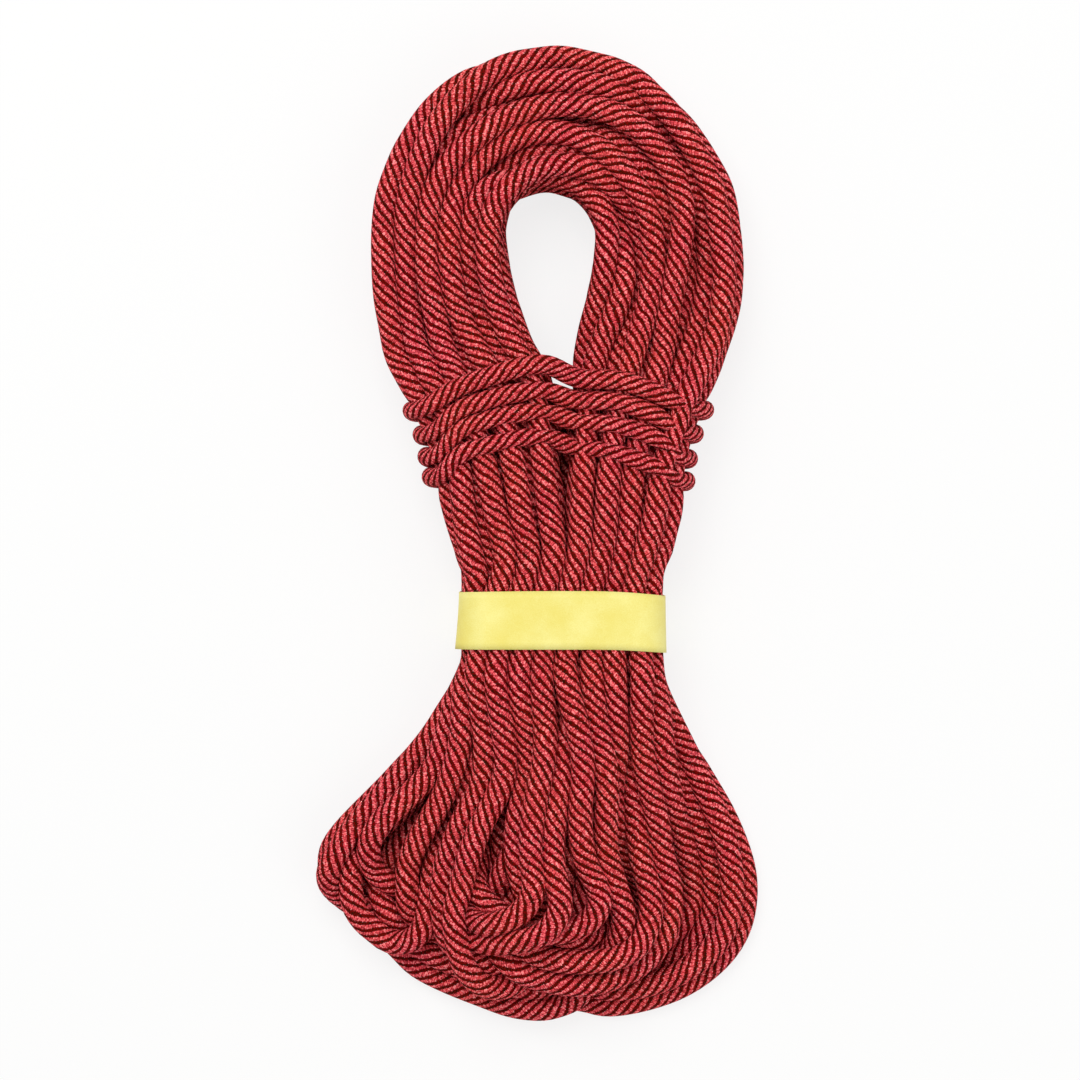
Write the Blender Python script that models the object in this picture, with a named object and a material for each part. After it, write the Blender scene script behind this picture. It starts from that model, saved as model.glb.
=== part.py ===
"""Dynamic climbing rope, stored as a flat hank with a paper label band.

Metres, +Z up. The hank lies on its flat underside at z = 0. +Y runs from the spread
bights towards the carrying eye, and +X points right with the eye at the far end.
"""
import math

import bpy
import bmesh
from mathutils import Vector

# Rope
ROPE_DIAMETER = 0.0098
SHEATH_WALL = 0.0011
CORE_STRAND_DIAMETER = 0.0017
CORE_RING_COUNT = 8
ID_TAPE_WIDTH = 0.0014
ID_TAPE_THICKNESS = 0.0002
SLEEVE_WALL = 0.0003
SLEEVE_LENGTH = 0.045
TIP_LENGTH = 0.0025
END_LENGTH = 0.072

# Hank, plan sizes
HANK_LENGTH = 0.391
FAN_WIDTH = 0.178
LOOP_WIDTH = 0.151
LOOP_X = 0.0074
EYE_WIDTH = 0.0356
EYE_X = 0.0048
EYE_CROWN = 0.0208
EYE_DROP = 0.052
CROWN_REACH = 0.0776
EYE_MIDDLE_SHARE = 0.45
EYE_LOW_SHARE = 0.82
EYE_TAPER = 0.0043
EYE_LOW_TAPER_LEFT = 0.0128
EYE_LOW_TAPER_RIGHT = 0.0064
GRIP_FLARE = 0.012
CLEFT_X = 0.0106
WAIST_WIDTH = 0.080
WAIST_X = 0.0094

# Hank, heights of the packed turns
CROWN_HEIGHT = 0.031
LEG_HEIGHT = 0.034
WRAPPED_HEIGHT = 0.032
WAIST_HEIGHT = 0.043
FAN_HEIGHT = 0.030
MIDDLE_HEIGHT = 0.026

# Binding turns
WRAP_COUNT = 4
WRAP_Y = 0.0559
WRAP_SPACING = 0.0009
WRAP_RISE = 0.016
WRAP_TOP_WIDTH = 0.112
WRAP_TAPER = 0.007

# Label band
BAND_Y = -0.0334
BAND_WIDTH = 0.0225
BAND_THICKNESS = 0.0004
BAND_OVERLAP = 0.020
BAND_RAMP = 0.0036
BAND_TRAVEL_DOWN = 0.002
BAND_TRAVEL_UP = 0.008
GLUE_THICKNESS = 0.0002
GLUE_INSET = 0.002

# Clearances and edge radii
GAP = 0.0003
WRAP_CLEARANCE = 0.0005
BAND_CLEARANCE = 0.0005
END_MARGIN = 0.0015
MIDDLE_MARGIN = 0.0012
SOLE_RADIUS = 0.004
CREST_RADIUS = 0.012
WRAPPED_RADIUS = 0.015
CORNER_STEPS = 3
TUBE_SIDES = 16

ROPE_RADIUS = ROPE_DIAMETER / 2
HANK_TOP = HANK_LENGTH / 2
CROWN_Y = HANK_TOP - CROWN_REACH
EYE_TIP_Y = CROWN_Y - EYE_DROP
WRAP_PITCH = ROPE_DIAMETER + WRAP_SPACING
WRAP_END_Y = WRAP_Y - WRAP_COUNT * WRAP_PITCH
WRAP_LIFT = ROPE_DIAMETER + 2 * WRAP_CLEARANCE
BAND_STEP = BAND_THICKNESS + GLUE_THICKNESS + 2 * GAP
WAIST_LIFT = GAP + BAND_STEP + BAND_THICKNESS + BAND_CLEARANCE
WAIST_TOP_Y = BAND_Y + BAND_WIDTH / 2 + BAND_TRAVEL_UP + END_MARGIN
FAN_START_Y = BAND_Y - BAND_WIDTH / 2 - BAND_TRAVEL_DOWN - END_MARGIN
FAN_LENGTH = FAN_START_Y + HANK_LENGTH / 2
SLEEVE_RADIUS = ROPE_RADIUS + GAP + SLEEVE_WALL
TAIL_Z = SLEEVE_RADIUS + GAP
TAIL_SPACING = 2 * SLEEVE_RADIUS + GAP
TAIL_LIFT = TAIL_Z + SLEEVE_RADIUS + GAP
MIDDLE_WIDTH = 2 * (TAIL_SPACING + SLEEVE_WALL + MIDDLE_MARGIN)

# Plan of the spread bights. Each row gives four points as (across, down): across is a share
# of half the fan's width, down a share of its length. Left edge, left seam, right seam,
# right edge. The last row is the line where the left and the right bights meet.
FAN_ROWS = (
    ((-0.530, 0.165), (-0.070, 0.165), (0.340, 0.165), (0.665, 0.165)),
    ((-0.730, 0.325), (-0.155, 0.325), (0.390, 0.325), (0.825, 0.325)),
    ((-0.930, 0.450), (-0.245, 0.450), (0.440, 0.460), (0.955, 0.455)),
    ((-1.000, 0.600), (-0.330, 0.590), (0.480, 0.610), (1.000, 0.615)),
    ((-0.870, 0.730), (-0.350, 0.690), (0.475, 0.715), (0.960, 0.755)),
    ((-0.665, 0.850), (-0.310, 0.760), (0.430, 0.785), (0.810, 0.895)),
    ((-0.370, 0.955), (-0.180, 0.820), (0.330, 0.830), (0.560, 0.975)),
    ((-0.060, 1.000), (-0.020, 0.845), (0.220, 0.848), (0.320, 0.992)),
    ((0.160, 0.970), (0.110, 0.850), (0.110, 0.850), (0.160, 0.970)),
)
# How far each row still stands towards the waist's height, from 1 at the waist to 0.
FAN_FALL = (0.75, 0.45, 0.20, 0.05, 0.0, 0.0, -0.05, -0.10, -0.15)
# Weights of the two nearest and the two next rows in a row halfway between them.
NEAR_WEIGHT = 9 / 16
FAR_WEIGHT = -1 / 16


def new_material(name, colour, roughness):
    material = bpy.data.materials.new(name)
    material.diffuse_color = (*colour, 1.0)
    material.use_nodes = True
    shader = material.node_tree.nodes["Principled BSDF"]
    shader.inputs["Base Color"].default_value = (*colour, 1.0)
    shader.inputs["Roughness"].default_value = roughness
    shader.inputs["Metallic"].default_value = 0.0
    return material


def add_object(name, data, material, parent):
    data.materials.append(material)
    obj = bpy.data.objects.new(name, data)
    bpy.context.scene.collection.objects.link(obj)
    obj.parent = parent
    return obj


def mesh_object(name, points, faces, material, parent):
    """A closed mesh with its faces turned outwards."""
    mesh = bpy.data.meshes.new(name)
    shell = bmesh.new()
    corners = [shell.verts.new(point) for point in points]
    for face in faces:
        shell.faces.new([corners[i] for i in face])
    bmesh.ops.recalc_face_normals(shell, faces=shell.faces)
    shell.to_mesh(mesh)
    shell.free()
    mesh.shade_smooth()
    mesh.set_sharp_from_angle(angle=math.radians(40))
    return add_object(name, mesh, material, parent)


def skin(name, rings, material, parent):
    """Joins rings of equally many points into one solid and closes both ends."""
    count = len(rings[0])
    faces = []
    for row in range(len(rings) - 1):
        for i in range(count):
            j = (i + 1) % count
            faces.append((row * count + i, row * count + j,
                          (row + 1) * count + j, (row + 1) * count + i))
    last = (len(rings) - 1) * count
    faces.append(tuple(range(count)))
    faces.append(tuple(range(last + count - 1, last - 1, -1)))
    points = [point for ring in rings for point in ring]
    return mesh_object(name, points, faces, material, parent)


def rounded_outline(width, low, high, radii):
    """A rounded rectangle from s = 0 to width, as (s, z). radii: sole and crest at s = 0,
    then crest and sole at s = width."""
    room = min(width, high - low) / 2 - GAP / 2
    radii = [min(radius, room) for radius in radii]
    corners = (
        ((radii[0], low + radii[0]), radii[0], 270),
        ((radii[1], high - radii[1]), radii[1], 180),
        ((width - radii[2], high - radii[2]), radii[2], 90),
        ((width - radii[3], low + radii[3]), radii[3], 0),
    )
    outline = []
    for centre, radius, start in corners:
        for step in range(CORNER_STEPS + 1):
            angle = math.radians(start - 90 * step / CORNER_STEPS)
            outline.append((centre[0] + radius * math.cos(angle),
                            centre[1] + radius * math.sin(angle)))
    return outline


def station(start, end, low, high, start_radii, end_radii):
    """One cross-section of a bundle of turns, between two points of the plan."""
    start = Vector(start)
    along = Vector(end) - start
    outline = rounded_outline(along.length, low, high, (*start_radii, *end_radii))
    along.normalize()
    return [(start.x + along.x * s, start.y + along.y * s, z) for s, z in outline]


ROUND = (SOLE_RADIUS, CREST_RADIUS)
ROUND_END = (CREST_RADIUS, SOLE_RADIUS)
SEAM = (GAP, GAP)
MIDDLE_EDGE = (GAP, ROPE_RADIUS)


def loop_bundle(name, first, last, steps, material, parent):
    """Turns round the carrying eye, from one angle to another, in degrees."""
    rings = []
    trim = math.degrees(GAP / EYE_WIDTH)
    for step in range(steps + 1):
        share = step / steps
        angle = math.radians((first - trim) * (1 - share) + (last + trim) * share)
        inner = (EYE_X + EYE_WIDTH / 2 * math.cos(angle), CROWN_Y + EYE_CROWN * math.sin(angle))
        outer = (LOOP_X + LOOP_WIDTH / 2 * math.cos(angle),
                 CROWN_Y + CROWN_REACH * math.sin(angle))
        high = LEG_HEIGHT + (CROWN_HEIGHT - LEG_HEIGHT) * math.sin(angle)
        rings.append(station(inner, outer, 0.0, high, ROUND, ROUND_END))
    return skin(name, rings, material, parent)


def wrapped_edges(y):
    """Left and right edges of the legs where the binding turns grip them."""
    share = (WRAP_Y - y) / (WRAP_Y - WRAP_END_Y)
    half = (WRAP_TOP_WIDTH - 2 * WRAP_TAPER * share) / 2 - ROPE_RADIUS - WRAP_CLEARANCE
    middle = (CLEFT_X + WAIST_X) / 2
    return middle - half, middle + half


def leg_rows():
    """(y, outer left, inner left, inner right, outer right, low, high, outer radii)."""
    loop_left = LOOP_X - LOOP_WIDTH / 2
    loop_right = LOOP_X + LOOP_WIDTH / 2
    eye_left = EYE_X - EYE_WIDTH / 2
    eye_right = EYE_X + EYE_WIDTH / 2
    waist_left = WAIST_X - WAIST_WIDTH / 2
    waist_right = WAIST_X + WAIST_WIDTH / 2
    seam_left = CLEFT_X - GAP / 2
    seam_right = CLEFT_X + GAP / 2
    grip_y = WRAP_Y + ROPE_DIAMETER
    grip_end_y = WRAP_END_Y - ROPE_DIAMETER
    grip = wrapped_edges(grip_y)
    grip_end = wrapped_edges(grip_end_y)
    crest = WRAP_LIFT + WRAPPED_HEIGHT
    return (
        (CROWN_Y - GAP, loop_left, eye_left, eye_right, loop_right, 0.0, LEG_HEIGHT, ROUND),
        (CROWN_Y - EYE_DROP * EYE_MIDDLE_SHARE, loop_left + EYE_TAPER / 2, eye_left + EYE_TAPER,
         eye_right - EYE_TAPER, loop_right - EYE_TAPER / 2, 0.0, LEG_HEIGHT + GAP, ROUND),
        (CROWN_Y - EYE_DROP * EYE_LOW_SHARE, grip[0] - GRIP_FLARE, eye_left + EYE_LOW_TAPER_LEFT,
         eye_right - EYE_LOW_TAPER_RIGHT, grip[1] + GRIP_FLARE, 0.0, LEG_HEIGHT + SOLE_RADIUS,
         ROUND),
        (grip_y, grip[0], seam_left, seam_right, grip[1], WRAP_LIFT, crest,
         (WRAPPED_RADIUS, WRAPPED_RADIUS)),
        (grip_end_y, grip_end[0], seam_left, seam_right, grip_end[1], WRAP_LIFT, crest,
         (WRAPPED_RADIUS, WRAPPED_RADIUS)),
        (WAIST_TOP_Y, waist_left, seam_left, seam_right, waist_right, WAIST_LIFT,
         WAIST_LIFT + WAIST_HEIGHT, (CREST_RADIUS, CREST_RADIUS)),
        (FAN_START_Y + GAP, waist_left, seam_left, seam_right, waist_right, WAIST_LIFT,
         WAIST_LIFT + WAIST_HEIGHT, (CREST_RADIUS, CREST_RADIUS)),
    )


def leg_bundle(name, is_left, material, parent):
    rings = []
    for y, outer_left, inner_left, inner_right, outer_right, low, high, outer in leg_rows():
        inner = ROUND if y > EYE_TIP_Y else SEAM
        if is_left:
            rings.append(station((outer_left, y), (inner_left, y), low, high,
                                 outer, inner[::-1]))
        else:
            rings.append(station((inner_right, y), (outer_right, y), low, high,
                                 inner, outer[::-1]))
    return skin(name, rings, material, parent)


def smooth_rows(rows):
    """Halves each step with a point on the smooth curve through its neighbours."""
    refined = [rows[0]]
    for i in range(len(rows) - 1):
        before = rows[max(i - 1, 0)]
        after = rows[min(i + 2, len(rows) - 1)]
        refined.append([NEAR_WEIGHT * (a + b) + FAR_WEIGHT * (p + q)
                        for p, a, b, q in zip(before, rows[i], rows[i + 1], after)])
        refined.append(rows[i + 1])
    return refined


def fan_stations():
    """Rows of four plan points with the top and the underside of the turns there."""
    middle = (CLEFT_X + WAIST_X) / 2
    waist_top = WAIST_LIFT + WAIST_HEIGHT
    across = (WAIST_X - WAIST_WIDTH / 2, middle - MIDDLE_WIDTH / 2,
              middle + MIDDLE_WIDTH / 2, WAIST_X + WAIST_WIDTH / 2)
    rows = [[value for x in across for value in (x, FAN_START_Y)] + [waist_top, WAIST_LIFT]]
    for row, fall in zip(FAN_ROWS, FAN_FALL):
        flat = []
        for share_across, share_down in row:
            flat += [share_across * FAN_WIDTH / 2, FAN_START_Y - share_down * FAN_LENGTH]
        rows.append(flat + [FAN_HEIGHT + (waist_top - FAN_HEIGHT) * fall, 0.0])
    stations = []
    for row in smooth_rows(rows):
        points = [(row[i], row[i + 1]) for i in range(0, 8, 2)]
        stations.append((points, row[8], max(row[9], 0.0)))
    return stations


def fan_side(name, is_left, material, parent):
    """The bights that sweep out on one side and back in under the middle ones."""
    edge, seam = (0, 1) if is_left else (3, 2)
    stations = fan_stations()
    rings = [station(points[edge], points[seam], low, high, ROUND, SEAM)
             for points, high, low in stations[:-1]]
    points, high, low = stations[-1]
    shift = -GAP if is_left else GAP
    start, end = [(x + shift, y) for x, y in (points[edge], points[seam])]
    rings.append(station(start, end, low, high, ROUND, SEAM))
    return skin(name, rings, material, parent)


def fan_middle(name, material, parent):
    """The innermost bights, which bridge the two rope ends on the floor."""
    rings = []
    for points, high, _ in fan_stations()[:-1]:
        left, right = Vector(points[1]), Vector(points[2])
        inset = (right - left).normalized() * 2 * GAP
        top = max(high, TAIL_LIFT + MIDDLE_HEIGHT)
        rings.append(station(left + inset, right - inset, TAIL_LIFT, top,
                             MIDDLE_EDGE, MIDDLE_EDGE[::-1]))
    return skin(name, rings, material, parent)


def wrap_point(turn, share):
    """A point on the binding helix. share 0 and 1 are under the hank, 0.5 on its crest."""
    y_side = WRAP_Y - (turn + share) * WRAP_PITCH
    left, right = wrapped_edges(y_side + WRAP_PITCH / 2)
    reach = ROPE_RADIUS + WRAP_CLEARANCE
    outline = rounded_outline(right - left + 2 * reach, WRAP_LIFT - reach,
                              WRAP_LIFT + WRAPPED_HEIGHT + reach,
                              [WRAPPED_RADIUS + reach] * 4)
    return outline, left - reach, y_side


def wrap_turn(name, turn, material, parent):
    """One binding turn: under the left leg, up its side, over both legs and back under."""
    count = 4 * (CORNER_STEPS + 1)
    crest = WRAP_LIFT + WRAPPED_HEIGHT + ROPE_RADIUS + WRAP_CLEARANCE
    sole = WRAP_LIFT - ROPE_RADIUS - WRAP_CLEARANCE
    y_start = WRAP_Y - turn * WRAP_PITCH
    path = [Vector((CLEFT_X - GAP / 2, y_start, sole))]
    for i in range(count):
        share = (i + 1) / (count + 1)
        outline, left, y = wrap_point(turn, share)
        s, z = outline[i]
        path.append(Vector((left + s, y, z)))
        if i == count // 2 - 1:
            path.append(Vector((CLEFT_X, y, crest)))
    path.append(Vector((CLEFT_X + GAP / 2, y_start - WRAP_PITCH, sole)))
    half = WRAP_TOP_WIDTH / 2
    for point in path[1:-1]:
        over = (point.z - sole) / (crest - sole)
        rise = 1 - abs(point.x - CLEFT_X) / half
        point.y += WRAP_RISE * over * max(rise, 0.0)
    return tube(name, path, ROPE_RADIUS, material, parent)


def tube(name, path, radius, material, parent):
    curve = bpy.data.curves.new(name, "CURVE")
    curve.dimensions = "3D"
    curve.bevel_depth = radius
    curve.bevel_resolution = 2
    curve.use_fill_caps = True
    spline = curve.splines.new("POLY")
    spline.points.add(len(path) - 1)
    for point, place in zip(spline.points, path):
        point.co = (*place, 1.0)
    return add_object(name, curve, material, parent)


def circle(radius, x, z, y):
    ring = []
    for i in range(TUBE_SIDES):
        angle = 2 * math.pi * i / TUBE_SIDES
        ring.append((x + radius * math.cos(angle), y, z + radius * math.sin(angle)))
    return ring


def rod(name, radius, x, z, y_start, y_end, material, parent):
    rings = [circle(radius, x, z, y_start), circle(radius, x, z, y_end)]
    return skin(name, rings, material, parent)


def pipe(name, outer, inner, x, z, y_start, y_end, material, parent):
    """A tube that is open at both ends."""
    rings = [circle(outer, x, z, y_start), circle(outer, x, z, y_end),
             circle(inner, x, z, y_end), circle(inner, x, z, y_start)]
    faces = []
    for row in range(4):
        for i in range(TUBE_SIDES):
            j = (i + 1) % TUBE_SIDES
            below = (row + 1) % 4 * TUBE_SIDES
            faces.append((row * TUBE_SIDES + i, row * TUBE_SIDES + j, below + j, below + i))
    points = [point for ring in rings for point in ring]
    return mesh_object(name, points, faces, material, parent)


def box(name, low, high, material, parent):
    rings = []
    for y in (low[1], high[1]):
        rings.append([(low[0], y, low[2]), (high[0], y, low[2]),
                      (high[0], y, high[2]), (low[0], y, high[2])])
    return skin(name, rings, material, parent)


def rope_end(letter, x, materials, parent):
    """One free end of the rope: sheath, parallel core strands, marker tape, the fused tip
    and the shrunk sleeve over it."""
    start_y = FAN_START_Y - GAP
    end_y = start_y - END_LENGTH
    tip_y = end_y - GAP - TIP_LENGTH
    bore = ROPE_RADIUS - SHEATH_WALL
    pipe(f"sheath_end_{letter}", ROPE_RADIUS, bore, x, TAIL_Z, start_y, end_y,
         materials["sheath"], parent)
    strand = CORE_STRAND_DIAMETER / 2
    ring = bore - GAP - strand
    rod(f"core_strand_{letter}_1", strand, x, TAIL_Z, start_y, end_y, materials["core"], parent)
    for i in range(CORE_RING_COUNT):
        angle = 2 * math.pi * (i + 0.5) / CORE_RING_COUNT
        rod(f"core_strand_{letter}_{i + 2}", strand, x + ring * math.cos(angle),
            TAIL_Z + ring * math.sin(angle), start_y, end_y, materials["core"], parent)
    tape_low = TAIL_Z + strand + GAP
    box(f"marker_tape_{letter}", (x - ID_TAPE_WIDTH / 2, end_y, tape_low),
        (x + ID_TAPE_WIDTH / 2, start_y, tape_low + ID_TAPE_THICKNESS), materials["tape"], parent)
    rod(f"fused_tip_{letter}", ROPE_RADIUS, x, TAIL_Z, end_y - GAP, tip_y,
        materials["melt"], parent)
    pipe(f"end_sleeve_{letter}", SLEEVE_RADIUS, SLEEVE_RADIUS - SLEEVE_WALL, x, TAIL_Z,
         tip_y + SLEEVE_LENGTH, tip_y, materials["sleeve"], parent)


def band_outline(offset):
    """Once round the waist as (x, z), starting and ending under the hank."""
    left = WAIST_X - WAIST_WIDTH / 2 - offset
    radius = CREST_RADIUS + offset
    outline = rounded_outline(WAIST_WIDTH + 2 * offset, WAIST_LIFT - offset,
                              WAIST_LIFT + WAIST_HEIGHT + offset, [radius] * 4)
    return [(left + s, z) for s, z in outline]


def label_band(materials, parent):
    """A paper strip laid once round the waist. Its outer end overlaps its inner end under
    the hank, where a patch of glue joins them."""
    inner = band_outline(BAND_CLEARANCE)
    outer = band_outline(BAND_CLEARANCE + BAND_THICKNESS)
    stepped = band_outline(BAND_CLEARANCE + BAND_STEP)
    stepped_outer = band_outline(BAND_CLEARANCE + BAND_STEP + BAND_THICKNESS)
    near, far = WAIST_X + BAND_OVERLAP / 2, WAIST_X - BAND_OVERLAP / 2
    pairs = [((near, inner[0][1]), (near, outer[0][1]))]
    pairs += list(zip(inner[:-1], outer[:-1]))
    pairs += [(inner[-1], outer[-1])]
    ramp = near + BAND_OVERLAP / 2
    pairs.append(((ramp + BAND_RAMP, inner[-1][1]), (ramp + BAND_RAMP, outer[-1][1])))
    pairs.append(((ramp, stepped[-1][1]), (ramp, stepped_outer[-1][1])))
    pairs.append(((far, stepped[-1][1]), (far, stepped_outer[-1][1])))
    low, high = BAND_Y - BAND_WIDTH / 2, BAND_Y + BAND_WIDTH / 2
    rings = []
    for (x_in, z_in), (x_out, z_out) in pairs:
        rings.append([(x_in, low, z_in), (x_in, high, z_in),
                      (x_out, high, z_out), (x_out, low, z_out)])
    skin("label_band", rings, materials["paper"], parent)
    glue_top = outer[0][1] - GAP
    box("band_glue", (far + GLUE_INSET, low + GLUE_INSET, glue_top - GLUE_THICKNESS),
        (near - GLUE_INSET, high - GLUE_INSET, glue_top), materials["glue"], parent)


def clear_scene():
    for obj in list(bpy.data.objects):
        bpy.data.objects.remove(obj, do_unlink=True)


def add_empty(name, place):
    empty = bpy.data.objects.new(name, None)
    empty.location = place
    bpy.context.scene.collection.objects.link(empty)
    return empty


def main():
    clear_scene()
    materials = {
        "sheath": new_material("braided_sheath", (0.42, 0.04, 0.06), 0.7),
        "core": new_material("core_yarn", (0.86, 0.85, 0.82), 0.6),
        "tape": new_material("marker_tape", (0.75, 0.76, 0.78), 0.4),
        "melt": new_material("fused_nylon", (0.10, 0.03, 0.03), 0.35),
        "sleeve": new_material("shrink_sleeve", (0.80, 0.80, 0.78), 0.2),
        "paper": new_material("band_paper", (0.93, 0.83, 0.24), 0.6),
        "glue": new_material("band_glue", (0.85, 0.80, 0.62), 0.4),
    }
    sheath = materials["sheath"]
    rope = add_empty("rope_frame", (0.0, 0.0, 0.0))
    band = add_empty("band_slide_axis", (0.0, 0.0, 0.0))
    loop_bundle("loop_shoulder_left", 180, 120, 4, sheath, rope)
    loop_bundle("loop_crown", 120, 60, 4, sheath, rope)
    loop_bundle("loop_shoulder_right", 60, 0, 4, sheath, rope)
    leg_bundle("leg_left", True, sheath, rope)
    leg_bundle("leg_right", False, sheath, rope)
    fan_side("bights_left", True, sheath, rope)
    fan_side("bights_right", False, sheath, rope)
    fan_middle("bights_middle", sheath, rope)
    for turn in range(WRAP_COUNT):
        wrap_turn(f"binding_turn_{turn + 1}", turn, sheath, rope)
    middle = (CLEFT_X + WAIST_X) / 2
    rope_end("a", middle - TAIL_SPACING / 2, materials, rope)
    rope_end("b", middle + TAIL_SPACING / 2, materials, rope)
    label_band(materials, band)


main()
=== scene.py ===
import math

import bpy
import numpy as np
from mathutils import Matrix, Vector


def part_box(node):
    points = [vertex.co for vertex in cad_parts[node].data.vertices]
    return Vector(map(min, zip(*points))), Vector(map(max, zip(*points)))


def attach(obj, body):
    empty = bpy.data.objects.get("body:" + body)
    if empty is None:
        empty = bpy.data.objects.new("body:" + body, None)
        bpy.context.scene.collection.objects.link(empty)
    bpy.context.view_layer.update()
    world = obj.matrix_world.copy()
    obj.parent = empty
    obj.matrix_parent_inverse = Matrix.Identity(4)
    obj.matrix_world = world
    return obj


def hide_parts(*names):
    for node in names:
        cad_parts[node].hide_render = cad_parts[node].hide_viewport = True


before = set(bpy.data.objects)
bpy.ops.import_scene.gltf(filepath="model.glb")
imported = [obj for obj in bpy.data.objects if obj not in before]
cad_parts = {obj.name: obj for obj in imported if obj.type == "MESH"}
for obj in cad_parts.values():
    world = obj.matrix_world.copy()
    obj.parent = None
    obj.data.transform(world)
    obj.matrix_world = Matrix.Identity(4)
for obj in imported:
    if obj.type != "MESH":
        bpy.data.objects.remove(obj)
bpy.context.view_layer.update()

mm = 0.001
# the two loose ends: x, far end, near end and height of their sheaths' middle, in millimetres
tails = []
for letter in "ab":
    low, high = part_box(f"sheath_end_{letter}")
    places = ((low[0] + high[0]) / 2, low[1], high[1], (low[2] + high[2]) / 2)
    tails.append([round(place / mm, 2) for place in places])


def rgb(hexColour):
    # sRGB hex to the linear colour that the shaders work in
    parts = [int(hexColour[k:k + 2], 16) / 255 for k in (1, 3, 5)]
    return [c / 12.92 if c <= 0.04045 else ((c + 0.055) / 1.055) ** 2.4 for c in parts] + [1.0]


def put(material, kind, links=None, **settings):
    # adds a node; links gives each input a value, a socket or another node's first output
    made = material.node_tree.nodes.new(kind)
    for name, value in settings.items():
        setattr(made, name, value)
    for name, value in (links or {}).items():
        if isinstance(value, bpy.types.Node):
            value = value.outputs[0]
        if isinstance(value, bpy.types.NodeSocket):
            material.node_tree.links.new(value, made.inputs[name])
        else:
            made.inputs[name].default_value = value
    return made


def calc(material, operation, *values):
    # the values are sockets, nodes or numbers
    return put(material, "ShaderNodeMath", dict(enumerate(values)), operation=operation)


def ranged(material, value, low, high, toLow=0.0, toHigh=1.0):
    # takes what lies between low and high to another range
    return put(material, "ShaderNodeMapRange", {"Value": value, "From Min": low, "From Max": high,
                                                "To Min": toLow, "To Max": toHigh})


def noise(material, where, each, detail, **more):
    # each: about how many waves there are in a millimetre
    waves = {"Vector": where, "Scale": each / mm, "Detail": detail, **more}
    return put(material, "ShaderNodeTexNoise", waves)


def blend(material, share, first, second):
    # from the first colour to the second
    return put(material, "ShaderNodeMix", {"Factor": share, 6: first, 7: second}, data_type="RGBA").outputs[2]


def newMaterial(name):
    material = bpy.data.materials.new(name)
    material.use_nodes = True
    material.node_tree.nodes.clear()
    return material


def finishWith(material, look, share, relief, inputs=None):
    # ends a material: its two tones by share, its fine relief, and the shader settings of its dictionary
    inputs = {**look["shader"], **(inputs or {})}
    if "tones" in look:
        low, high = [rgb(tone) for tone in look["tones"]]
        inputs["Base Color"] = blend(material, share, low, high)
    inputs["Normal"] = put(material, "ShaderNodeBump", {"Height": relief, "Strength": look["bump"],
                                                        "Distance": look["depth"] * mm})
    put(material, "ShaderNodeOutputMaterial", {"Surface": put(material, "ShaderNodeBsdfPrincipled", inputs)})
    return material


def newObject(name, data):
    made = bpy.data.objects.new(name, data)
    bpy.context.scene.collection.objects.link(made)
    return made


cameraView = {
    "height": 1.50,      # above the floor
    "centre": (0.0006, -0.0016),
    "frame": 0.432,      # width and depth of what is seen
    "level": 0.018,      # at this height above the floor
    "sensor": 36.0,
}
cameraData = bpy.data.cameras.new("camera")
cameraData.sensor_width = cameraView["sensor"]
cameraData.lens = cameraView["sensor"] * (cameraView["height"] - cameraView["level"]) / cameraView["frame"]
cameraData.clip_start = 0.05
camera = newObject("camera", cameraData)
camera.location = (*cameraView["centre"], cameraView["height"])
bpy.context.scene.camera = camera
print("camera looks straight down")


# the rope and the hank's shape, in millimetres
rope = {
    "diameter": 9.8,
    "bindingDiameter": 7.9,   # drawn tight, so thinner
    "turns": 22,
}
radius = rope["diameter"] / 2

eyeShape = {"x": 4.8, "halfWidth": 17.8, "rise": 20.8}
loopShape = {
    "x": 7.4, "halfWidth": 75.5, "rise": 77.6, "y": 117.9, "height": 33.0,
    "fall": 2,                       # the crown is this much lower
    "pinch": 0.05,                   # share by which the right shoulder comes in
    "edgeWidth": 50, "edgeDrop": (9.0, 8.0),    # rounding of the outer and the inner edge
}
waist = {
    "x": 9.4, "halfWidth": 40.0, "low": 2.4, "high": 45.4,
    "corner": 12.0,                  # rounding of its section
    "top": -12.0, "foot": -50.0,     # its place along y
    "ease": 16.0, "slack": 14.0,     # over this length the section opens by this much
    "push": 0.8,                     # share of the way back into the box in each round
    "turnFrom": -8.0, "turnTo": -52.0,
    "turn": 0.5,                     # strands go this many eighths of the way round its middle
}

legShape = {
    "edgeDrop": 9.0,                 # rounding of the outer edges
    "closedBelow": 0.4,              # share of the height up to which the legs close up in the middle
}
# a leg's section from the eye down:
# y, outer left, inner left, inner right, outer right, low, high, cleft rounding
legRows = (
    (117.9, -68.2, -13.0, 22.6, 83.0, 0.0, 33.0, 8),
    (100.0, -66.6, -10.0, 20.6, 82.4, 0.0, 33.5, 8),
    (82.0, -63.4, -4.0, 16.5, 78.6, 0.0, 34.5, 10),
    (70.0, -59.0, 2.0, 14.5, 73.0, 3.0, 38.0, 12),
    (58.0, -50.5, 6.4, 14.2, 65.5, 9.0, 44.0, 14),
    (46.0, -45.5, 6.8, 13.8, 60.5, 10.8, 46.0, 14),
    (34.0, -41.5, 7.0, 13.2, 57.0, 10.8, 46.5, 13),
    (20.0, -38.5, 8.4, 12.2, 55.5, 10.0, 46.8, 11),
    (6.0, -36.5, 9.4, 11.2, 55.0, 5.5, 46.0, 7),
    (-6.0, -33.2, 10.0, 10.4, 52.6, 2.8, 45.6, 3),
    (-15.0, -30.8, 9.6, 9.6, 49.6, 2.4, 45.4, 0),
    (-51.5, -30.8, 9.4, 9.4, 49.6, 2.4, 45.4, 0),
)

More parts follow.
